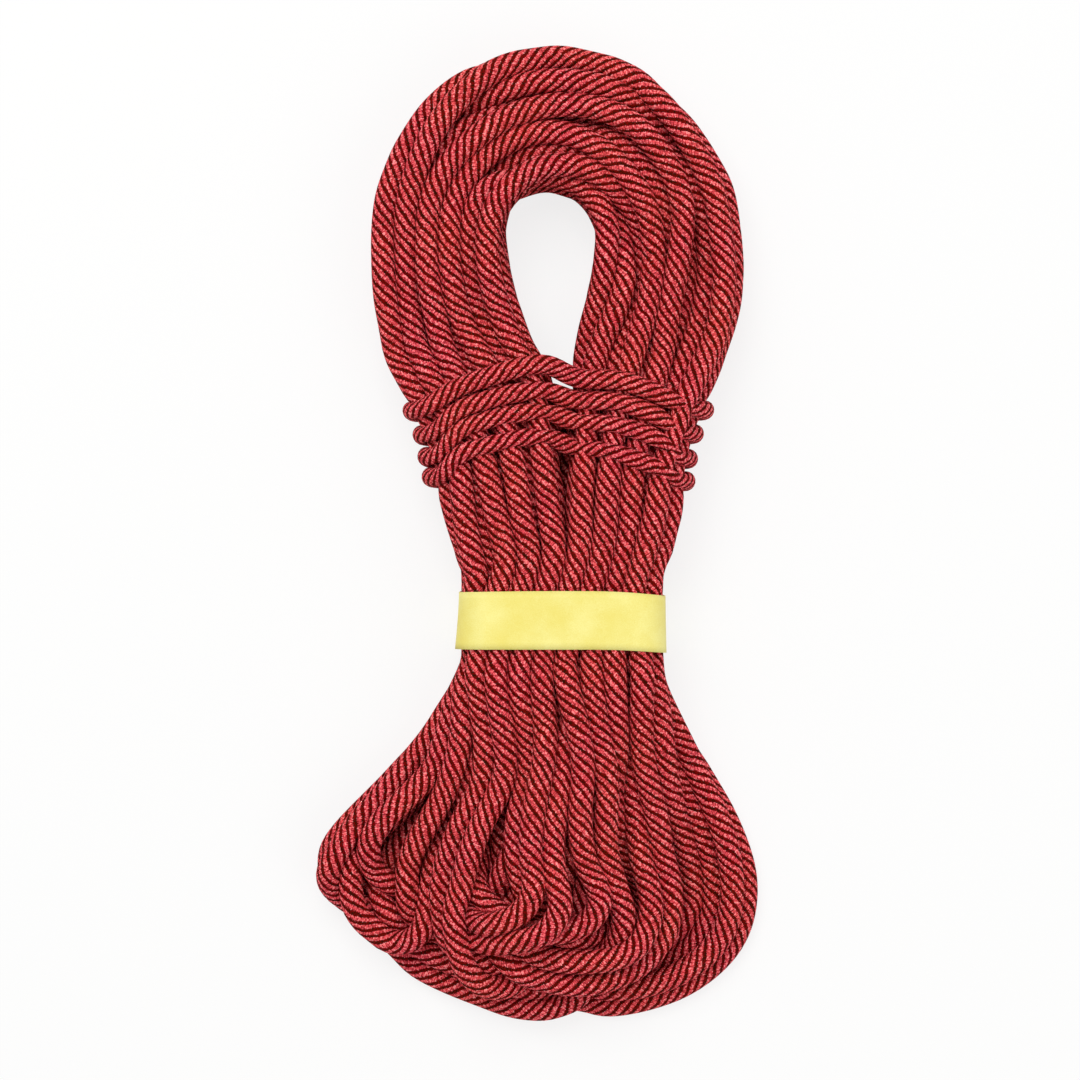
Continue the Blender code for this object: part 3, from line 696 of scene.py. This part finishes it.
tube = {
    "ringStep": 2.7,     # mm between the rings of the mesh
    "sides": 18,
    "press": 0.985,      # pressed faces stop this share of the way to each other
    "bore": 3.95,        # mm, the sheath's hollow at the two ends
    "boreLength": 71.0,
    "least": 0.45,       # share of the radius that pressing leaves
    # the unrolled sheath lies in so many rows when it is baked, with these margins beside and between them
    "bakeRows": 25, "bakeMargins": (0.01, 0.04),
}


def smoothRings(p, mark):
    # a finer curve through the settled points
    padded = np.vstack([2 * p[0] - p[1], p, 2 * p[-1] - p[-2]])
    a, b, c, e = padded[:-3], padded[1:-2], padded[2:-1], padded[3:]
    pieces = []
    for k in range(4):
        t = k / 4
        pieces.append(0.5 * (2 * b + (c - a) * t + (2 * a - 5 * b + 4 * c - e) * t ** 2
                             + (3 * b - a - 3 * c + e) * t ** 3))
    fine = np.vstack([np.stack(pieces, 1).reshape(-1, 3), p[-1:]])
    rings, at = evenly(fine, tube["ringStep"])
    bound = np.interp(at / at[-1], np.linspace(0, 1, len(mark)), mark)
    thick = radius + (rope["bindingDiameter"] / 2 - radius) * bound
    return rings, thick, at


def ringFrames(rings):
    # two directions across the rope at each ring, carried along without twist
    tangent = np.gradient(rings, axis=0)
    tangent /= np.linalg.norm(tangent, axis=1)[:, None]
    side = np.zeros_like(tangent)
    first = np.cross(tangent[0], (0, 0, 1))
    side[0] = first / np.linalg.norm(first)
    for k in range(1, len(rings)):
        s = side[k - 1] - tangent[k] * side[k - 1].dot(tangent[k])
        side[k] = s / math.sqrt(s.dot(s))
    return tangent, side, np.cross(side, tangent)


def pressedReach(rings, thick, side, up, angles):
    # how far the sheath stands out in each direction: pressed flat where strands touch
    first, second = closePairs(rings, rope["diameter"], 4)
    centre, other = np.concatenate([first, second]), np.concatenate([second, first])
    toward = rings[other] - rings[centre]
    square = (toward * toward).sum(1)
    keep = square < (thick[centre] + thick[other]) ** 2
    centre, other, toward, square = centre[keep], other[keep], toward[keep], square[keep]
    # where the two surfaces meet, measured from the first centre
    meet = (square + thick[centre] ** 2 - thick[other] ** 2) / 2
    reach = np.repeat(thick[:, None], len(angles), 1)
    for k, angle in enumerate(angles):
        ray = side[centre] * math.cos(angle) + up[centre] * math.sin(angle)
        facing = (ray * toward).sum(1)
        limit = np.where(facing > 0.5, meet * tube["press"] / np.maximum(facing, 0.5), 99.0)
        np.minimum.at(reach[:, k], centre, limit)
    reach = np.maximum(reach, thick[:, None] * tube["least"])
    for _ in range(2):
        reach = (reach * 2 + np.roll(reach, 1, 1) + np.roll(reach, -1, 1)) / 4
        reach[1:-1] = (reach[1:-1] * 2 + reach[:-2] + reach[2:]) / 4
    return reach


def buildRope(p, mark):
    rings, thick, at = smoothRings(p, mark)
    tangent, side, up = ringFrames(rings)
    angles = np.arange(tube["sides"]) * 2 * math.pi / tube["sides"]
    reach = pressedReach(rings, thick, side, up, angles)
    n, m = reach.shape
    ray = side[:, None] * np.cos(angles)[None, :, None] + up[:, None] * np.sin(angles)[None, :, None]
    outer = rings[:, None] + ray * reach[:, :, None]
    # the ends turn in to the hollow that holds the core
    inside = int(tube["boreLength"] / tube["ringStep"])
    boreStart = rings[:inside, None] + ray[:inside] * tube["bore"]
    boreEnd = rings[-inside:, None] + ray[-inside:] * tube["bore"]
    layers = np.concatenate([boreStart[::-1], outer, boreEnd[::-1]])
    layerAt = np.concatenate([at[:inside][::-1] - at[0] - 2, at, 2 * at[-1] - at[-inside:][::-1] + 2])
    count = len(layers)
    ringIndex = np.arange(count - 1)[:, None] * m
    corner = np.arange(m)[None, :]
    nextCorner = (corner + 1) % m
    quads = np.stack([ringIndex + corner, ringIndex + nextCorner,
                      ringIndex + m + nextCorner, ringIndex + m + corner], 2)
    faces = [tuple(quad) for quad in quads.reshape(-1, 4)[:, ::-1].tolist()]
    faces += [tuple(range(m)), tuple(reversed(range((count - 1) * m, count * m)))]
    mesh = bpy.data.meshes.new("climbing_rope")
    mesh.from_pydata((layers.reshape(-1, 3) * mm).tolist(), [], faces)
    mesh.shade_smooth()
    # length along the rope in metres and share of the way round
    share = np.arange(m + 1) / m
    low, high = np.meshgrid(layerAt[:-1] * mm, share[:-1], indexing="ij")
    lowNext, highNext = np.meshgrid(layerAt[1:] * mm, share[1:], indexing="ij")
    sheathMap = np.stack([np.stack([lowNext, high], 2), np.stack([lowNext, highNext], 2),
                          np.stack([low, highNext], 2), np.stack([low, high], 2)], 2).reshape(-1, 2)
    ends = np.zeros((2 * m, 2))
    mesh.uv_layers.new(name="sheath").data.foreach_set("uv", np.concatenate([sheathMap, ends]).ravel())
    # rows of the unrolled sheath, laid under each other in a square for baking
    rows, length = tube["bakeRows"], layerAt[-1] - layerAt[0]
    middle = (layerAt[:-1] + layerAt[1:]) / 2 - layerAt[0]
    row = np.repeat(np.minimum((middle / length * rows).astype(int), rows - 1), m * 4)
    x = (sheathMap[:, 0] / mm - layerAt[0]) / length * rows - row
    beside, between = tube["bakeMargins"]
    y = (row + between + sheathMap[:, 1] * (1 - 2 * between)) / rows
    bakeMap = np.stack([beside + x * (1 - 2 * beside), y], 1)
    mesh.uv_layers.new(name="OFBake").data.foreach_set("uv", np.concatenate([bakeMap, ends]).ravel())
    mesh.update()
    return mesh, rings * mm


# the last pin-holes in the pile: x, y and how far the low strands lean over them, in millimetres
pinHoles = ((38.2, -147.6, 1.1), (8.2, 30.0, 0.9))
lowStrands = (24, 6)  # strands above the first height stay, and those this far below it lean fully


def closePinHoles(p):
    for x, y, lean in pinHoles:
        toward = np.column_stack([x - p[:, 0], y - p[:, 1]]) / radius
        far = np.linalg.norm(toward, axis=1)
        low = np.clip((lowStrands[0] - p[:, 2]) / lowStrands[1], 0, 1)
        p[:, :2] += toward * (lean * np.exp(1.5 * (1 - far)) * low)[:, None]


points, bindingStart, bindingEnd = ropeRoute()
settled, mark = settle(points, bindingStart, bindingEnd)
closePinHoles(settled)
print("hank settled,", len(settled), "points")
ropeMesh, ropeLine = buildRope(settled, mark)
ropeObject = newObject("climbing_rope", ropeMesh)

ropeNodes = ["loop_crown", "loop_shoulder_left", "loop_shoulder_right", "leg_left", "leg_right",
             "bights_left", "bights_middle", "bights_right", "sheath_end_a", "sheath_end_b"]
ropeNodes += [f"binding_turn_{k}" for k in range(1, 5)]
endPieces = [f"{kind}_{letter}" for kind in ("marker_tape", "fused_tip", "end_sleeve") for letter in "ab"]
endPieces += [f"core_strand_{letter}_{k}" for letter in "ab" for k in range(1, 10)]
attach(ropeObject, "rope")
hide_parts(*ropeNodes)
print("rope made,", round(float(alongLine(ropeLine)[-1]), 2), "m on", len(ropeLine), "rings")

sheathLook = {
    "red": "#FF565F", "redInShadedDips": "#B80C14", "paintedSheenRed": "#FFA8A6",   # red yarn with painted highlight on its crests and painted shade in its dips, and pale painted sheen on single fibres
    "dark": "#340E02", "darkLow": "#920C06",      # dark yarn, and the red that shows between its filaments
    "stripePeriod": 4.25,    # mm along the rope for one red and one dark stripe
    "stripesRound": 7,
    "crossings": 4,          # yarns of the other direction for each pair of stripes
    "redShare": 0.51,
    "ragged": 0.3,           # how far a stripe's edge wavers, of the stripe period
    "fibres": 1.25,          # in a millimetre; there are more, but they would be too fine to show
    "drift": 0.16, "patches": 0.045,   # in a millimetre: waves of the stripes, and patches of another red
    "strays": 0.6,           # how far those waves carry a stripe
    "uneven": 0.35,          # share of the slower crossing wave
    "swell": (0.10, 0.06),   # a red stripe is this much wider on a crest, and narrower in a dip
    "filaments": 0.15,       # how much of a crest shows in the dark yarn
    "ribbon": 0.6,           # below 1, a carrier is flatter on top
    "hue": (0.498, 0.503),
    "glint": (0.48, 1.5),    # how dark and how light single fibres are
    "bump": 0.9, "depth": 0.4,
    # spun yarn scatters nearly all the light
    "shader": {"Roughness": 0.8, "IOR": 1.53, "Specular IOR Level": 0.03},
}


def braidedSheath():
    # braided nylon sheath: two colours of carrier in one-way spirals, each crossed by small raised yarns
    look, m = sheathLook, newMaterial("braided nylon sheath")
    split = put(m, "ShaderNodeSeparateXYZ", {0: put(m, "ShaderNodeUVMap", uv_map="sheath")})
    turns = calc(m, "MULTIPLY", split.outputs[0], 1 / (look["stripePeriod"] * mm))
    around = calc(m, "MULTIPLY", split.outputs[1], float(look["stripesRound"]))
    # slow drift of the yarn tension, so that stripes are not ruled lines
    where = put(m, "ShaderNodeTexCoord").outputs["Object"]
    drift = noise(m, where, look["drift"], 2.0)
    drift = calc(m, "MULTIPLY_ADD", drift, look["strays"], -look["strays"] / 2)
    stripe = calc(m, "SUBTRACT", turns, around)
    stripe = calc(m, "ADD", stripe, drift)
    # every second crossing yarn lies a little higher
    cross = calc(m, "ADD", turns, around)
    crests = []
    for count in (look["crossings"], look["crossings"] / 2):
        wave = calc(m, "MULTIPLY", cross, math.pi * count)
        wave = calc(m, "SINE", wave)
        crests.append(calc(m, "ABSOLUTE", wave))
    crest = put(m, "ShaderNodeMix", {"Factor": look["uneven"], "A": crests[0], "B": crests[1]})
    # how far inside a red stripe a place lies; the edge wavers
    fibre = noise(m, where, look["fibres"], 1.0)
    away = stripe
    for step, amount in (("FRACT", 0.0), ("SUBTRACT", look["redShare"] / 2),
                         ("ABSOLUTE", 0.0), ("PINGPONG", 0.5)):
        away = calc(m, step, away, amount)
    wider, narrower = look["swell"]
    swell = calc(m, "MULTIPLY_ADD", crest, wider, look["redShare"] / 2 - narrower)
    ragged = calc(m, "MULTIPLY_ADD", fibre, look["ragged"], -look["ragged"] / 2)
    edge = calc(m, "SUBTRACT", swell, away)
    edge = calc(m, "ADD", edge, ragged)
    filament = calc(m, "MULTIPLY_ADD", crest, look["filaments"], fibre)
    # each pair of colours goes over from the first to the second where its guide is between two values
    colours = {name: rgb(look[name]) for name in ("red", "redInShadedDips", "paintedSheenRed", "dark", "darkLow")}
    for name, first, second, guide, low, high, most in (
            # the red yarn: painted highlight on its crests, painted shade in its dips
            ("redYarn", "redInShadedDips", "red", crest, 0.05, 0.6, 1.0),
            # pale painted sheen on single fibres of the red yarn
            ("redWithPaintedSheen", "redYarn", "paintedSheenRed", fibre, 0.54, 0.66, 0.6),
            ("darkYarn", "darkLow", "dark", filament, 0.53, 0.63, 1.0),
            ("braid", "darkYarn", "redWithPaintedSheen", edge, -0.035, 0.035, 1.0)):
        share = ranged(m, guide, low, high, 0.0, most)
        colours[name] = blend(m, share, colours[first], colours[second])
    # patches where the red is a little more orange, and lighter and darker fibres
    patch = noise(m, where, look["patches"], 3.0)
    tint = {"Color": colours["braid"]}
    for name, guide, (low, high) in (("Hue", patch, look["hue"]), ("Value", fibre, look["glint"])):
        tint[name] = ranged(m, guide, 0.3, 0.7, low, high)
    # each carrier is a rounded ribbon, and the yarns across it are small humps
    ribbon = stripe
    for step, amount in (("MULTIPLY", 2 * math.pi), ("SINE", 0.0),
                         ("ABSOLUTE", 0.0), ("POWER", look["ribbon"])):
        ribbon = calc(m, step, ribbon, amount)
    height = calc(m, "ADD", ribbon, crest)
    return finishWith(m, look, None, height, {"Base Color": put(m, "ShaderNodeHueSaturation", tint)})


ropeMesh.materials.append(braidedSheath())
print("sheath finished")


paperBand = {
    "thickness": 0.35,       # mm, as are the rest
    "corner": 12.0,
    "overlap": 10.0,         # half of the glued overlap under the hank
    "overlapDrop": 1.15,     # the overlap's outer layer lies this much lower
    "lift": 0.05,            # and this much above the underside of the CAD's band
    "flare": (1.6, 0.4),     # wider at the lower edge, left and right, where the bights begin to spread
    "skew": 1.5,             # the right-hand fold hangs this much lower
    "bow": 0.5,              # the upper edge rises this much in the middle
    "ripple": 0.18,
    "rows": 9,
}


def bandRound(left, right, under, top):
    # once round the waist from the middle of the underside: x, z and the direction outwards
    centre, corner, overlap = (left + right) / 2, paperBand["corner"], paperBand["overlap"]
    under += paperBand["lift"]
    base = under + paperBand["overlapDrop"]
    stops = [(x, base, 0, -1) for x in np.linspace(centre + overlap, left + corner, 14)]
    for cx, cz, start in ((left + corner, base + corner, 270), (left + corner, top - corner, 180),
                          (right - corner, top - corner, 90), (right - corner, base + corner, 0)):
        for turn in range(6, 90, 6):
            ox, oz = math.cos(math.radians(start - turn)), math.sin(math.radians(start - turn))
            stops.append((cx + corner * ox, cz + corner * oz, ox, oz))
        if start == 180:
            stops += [(x, top, 0, 1) for x in np.linspace(left + corner, right - corner, 28)]
    stops += [(x, base, 0, -1) for x in np.linspace(right - corner, centre + overlap + 4, 8)]
    return stops + [(x, under, 0, -1) for x in np.linspace(centre + overlap, centre - overlap, 10)]


def bandMesh():
    box = [[value / mm for value in corner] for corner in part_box("label_band")]
    (left, low, under), (right, high, top) = box
    stops, rows = bandRound(left, right, under, top), paperBand["rows"]
    centre, half = (left + right) / 2, (right - left) / 2
    vertices, faces = [], []
    for depth in (0.0, paperBand["thickness"]):
        for x, z, ox, oz in stops:
            across = (x - centre) / half
            flare = paperBand["flare"][int(across > 0)] * across ** 5
            hang = paperBand["skew"] * max(0.0, (across - 0.3) / 0.7) ** 2
            for k in range(rows):
                share = k / (rows - 1)             # 0 at the lower edge, 1 at the upper
                y = low + (high - low) * share - hang + paperBand["bow"] * (1 - across ** 2) * share
                wave = paperBand["ripple"] * math.sin(x * 0.55 + share * 2) * (1 - across ** 6) * (oz > 0.5)
                vertices.append(((x - ox * depth + flare * (1 - share) ** 1.5) * mm, y * mm,
                                 (z - oz * depth + wave) * mm))
    total = len(stops) * rows
    for i in range(len(stops) - 1):
        for k in range(rows - 1):
            a, b, c, e = i * rows + k, i * rows + k + 1, (i + 1) * rows + k + 1, (i + 1) * rows + k
            faces += [(e, c, b, a), (a + total, b + total, c + total, e + total)]
        for a, b in ((i * rows, (i + 1) * rows), ((i + 2) * rows - 1, (i + 1) * rows - 1)):
            faces.append((a + total, b + total, b, a))
    for i in (0, len(stops) - 1):
        for k in range(rows - 1):
            a, b = (i * rows + k, i * rows + k + 1)[::-1 if i else 1]
            faces.append((b + total, a + total, a, b))
    mesh = bpy.data.meshes.new("paper_band")
    mesh.from_pydata(vertices, [], faces)
    mesh.shade_smooth()
    return mesh


labelLook = {
    "tones": ("#F5E572", "#FFF69A"),
    "fibres": 2.4, "clouds": 0.06,   # in a millimetre
    "bump": 0.25, "depth": 0.05,
    "shader": {"Roughness": 0.72, "IOR": 1.5, "Sheen Weight": 0.1},
}


def labelPaper():
    # uncoated paper, dyed in the pulp: matt, a little uneven, with fine fibres
    look, m = labelLook, newMaterial("yellow label paper")
    where = put(m, "ShaderNodeTexCoord").outputs["Object"]
    fibres = noise(m, where, look["fibres"], 6.0, Roughness=0.7)
    clouds = noise(m, where, look["clouds"], 3.0)
    both = calc(m, "ADD", fibres, clouds)
    share = ranged(m, both, 0.8, 1.25)
    return finishWith(m, look, share, fibres)


bandObject = newObject("paper_band", bandMesh())
bandObject.data.materials.append(labelPaper())
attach(bandObject, "band")
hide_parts("label_band")
print("paper band made")


# finishes of the rope's ends and of the glue; "each" counts a pattern's waves in a millimetre
endLooks = {
    # undyed nylon, twisted: pale and silky, with the twist of its plies; its darker tone is painted shade in
    # the twist's dips and its lighter tone painted highlight on the crests
    "core_strand": {
        "name": "twisted nylon core yarn", "tones": ("#CFCBC0", "#F4F2EA"), "bump": 0.6, "depth": 0.15,
        "pattern": "ShaderNodeTexWave", "each": 0.33, "waves": {"Distortion": 1.2, "Detail": 2.0},
        "bands": {"bands_direction": "Y"}, "laid": {"Rotation": (0, 0, 0.6)},
        "shader": {"Roughness": 0.5, "IOR": 1.53, "Sheen Weight": 0.4},
    },
    # film, stretched as it was made: silvery grey and satin, with faint lengthwise lines
    "marker_tape": {
        "name": "polypropylene marker tape", "tones": ("#B4B7BC", "#D9DBDE"), "bump": 0.2, "depth": 0.03,
        "pattern": "ShaderNodeTexNoise", "each": 3.0, "waves": {"Detail": 3.0},
        "laid": {"Scale": (1, 0.05, 1)},
        "shader": {"Roughness": 0.32, "IOR": 1.49},
    },
    # nylon melted by the hot knife: dark, glossy and rippled, with red showing through
    "fused_tip": {
        "name": "hot-cut fused nylon", "tones": ("#1F0D0A", "#6B1B1C"), "bump": 0.7, "depth": 0.4,
        "pattern": "ShaderNodeTexNoise", "each": 0.7, "waves": {"Detail": 4.0},
        "shader": {"Roughness": 0.28, "IOR": 1.53},
    },
    # clear polyolefin, shrunk by heat: lets the sheath show, with soft streaks where it shrank
    "end_sleeve": {
        "name": "clear heat-shrunk sleeve", "bump": 0.3, "depth": 0.1,
        "pattern": "ShaderNodeTexNoise", "each": 0.42, "waves": {"Detail": 3.0}, "roughness": (0.08, 0.3),
        "shader": {"Base Color": rgb("#F2F1EC"), "IOR": 1.51, "Transmission Weight": 0.9},
    },
    # hot-melt glue: amber and waxy, with small bubbles
    "band_glue": {
        "name": "hot-melt glue", "tones": ("#E9DCB0", "#D8C58C"), "bump": 0.4, "depth": 0.1,
        "pattern": "ShaderNodeTexVoronoi", "each": 0.9, "waves": {}, "full": 0.6,
        "shader": {"Roughness": 0.4, "IOR": 1.48, "Subsurface Weight": 0.15},
    },
}


def endFinish(look):
    # one pattern gives a small piece its tones or its gloss, and its fine relief
    m = newMaterial(look["name"])
    where = put(m, "ShaderNodeTexCoord").outputs["Object"]
    if "laid" in look:
        where = put(m, "ShaderNodeMapping", {"Vector": where, **look["laid"]})
    waves = {"Vector": where, "Scale": look["each"] / mm, **look["waves"]}
    made = put(m, look["pattern"], waves, **look.get("bands", {}))
    share, inputs = made.outputs.get("Fac") or made.outputs["Distance"], {}
    if "full" in look:
        share = ranged(m, share, 0.0, look["full"])
    if "roughness" in look:
        inputs["Roughness"] = ranged(m, share, 0.0, 1.0, *look["roughness"])
    return finishWith(m, look, share, share, inputs)


endFinishes = {kind: endFinish(look) for kind, look in endLooks.items()}
for name in [*endPieces, "band_glue"]:
    kind = next(kind for kind in endLooks if name.startswith(kind))
    for slot in bpy.data.objects[name].material_slots:
        slot.material = endFinishes[kind]
print("rope ends and glue finished")


floorLook = {
    "colour": "#FAFAF8",
    "size": 4.0,
    "seen": 0.8,
    "grain": 40.0, "roughness": (0.8, 0.95),
    # middles and half widths of what lies in the dark under the bights and the legs
    "covered": (((0.0, -0.135, 0.0), (0.086, 0.048, 1.0)), ((0.010, -0.027, 0.0), (0.028, 0.084, 1.0))),
}


def paleFloor():
    # painted board: even and matt, and around the rope a share of it always looks white to the eye
    m = newMaterial("pale matt floor")
    grain = put(m, "ShaderNodeTexNoise", {"Scale": floorLook["grain"], "Detail": 3.0})
    rough = ranged(m, grain, 0.0, 1.0, *floorLook["roughness"])
    board = put(m, "ShaderNodeBsdfPrincipled", {"Base Color": rgb(floorLook["colour"]), "Roughness": rough,
                                                "Specular IOR Level": 0.1})
    white = put(m, "ShaderNodeEmission", {"Color": (1, 1, 1, 1), "Strength": 1.0})
    path = put(m, "ShaderNodeLightPath")
    share = calc(m, "MULTIPLY", path.outputs["Is Camera Ray"], floorLook["seen"])
    place = put(m, "ShaderNodeNewGeometry").outputs["Position"]
    for middle, half in floorLook["covered"]:
        aside = put(m, "ShaderNodeVectorMath", {0: place, 1: middle}, operation="SUBTRACT")
        ratio = put(m, "ShaderNodeVectorMath", {0: aside, 1: half}, operation="DIVIDE")
        far = put(m, "ShaderNodeVectorMath", {0: ratio}, operation="LENGTH")
        around = ranged(m, far.outputs["Value"], 0.85, 1.0)
        share = calc(m, "MULTIPLY", share, around)
    both = put(m, "ShaderNodeMixShader", {0: share, 1: board, 2: white})
    put(m, "ShaderNodeOutputMaterial", {"Surface": both})
    return m


size = floorLook["size"]
floorMesh = bpy.data.meshes.new("floor")
corners = [(-size, -size, 0), (size, -size, 0), (size, size, 0), (-size, size, 0)]
floorMesh.from_pydata(corners, [], [(0, 1, 2, 3)])
floor = newObject("floor", floorMesh)
floorMesh.materials.append(paleFloor())

lamps = {
    "main": {"place": (-0.35, 0.75, 1.55), "size": 1.1, "power": 17.0},
    "fill": {"place": (0.9, -0.5, 1.3), "size": 1.2, "power": 5.0},
}
for name, lamp in lamps.items():
    light = bpy.data.lights.new(name, "AREA")
    light.shape = "SQUARE"
    light.size = lamp["size"]
    light.energy = lamp["power"]
    holder = newObject(name, light)
    holder.location = lamp["place"]
    holder.rotation_euler = (-Vector(lamp["place"])).to_track_quat("-Z", "Y").to_euler()

studio = {"ambient": 0.45, "backdrop": 1.0}
world = bpy.data.worlds.new("studio")
bpy.context.scene.world = world
world.use_nodes = True
world.node_tree.nodes.clear()
path = put(world, "ShaderNodeLightPath")
seen = calc(world, "MAXIMUM", path.outputs["Is Camera Ray"], path.outputs["Is Transmission Ray"])
ambient = put(world, "ShaderNodeBackground", {"Color": (1, 1, 1, 1), "Strength": studio["ambient"]})
backdrop = put(world, "ShaderNodeBackground", {"Color": (1, 1, 1, 1), "Strength": studio["backdrop"]})
both = put(world, "ShaderNodeMixShader", {0: seen, 1: ambient, 2: backdrop})
put(world, "ShaderNodeOutputWorld", {"Surface": both})

bpy.context.scene.view_settings.view_transform = "Standard"
print("floor, lamps and world made")
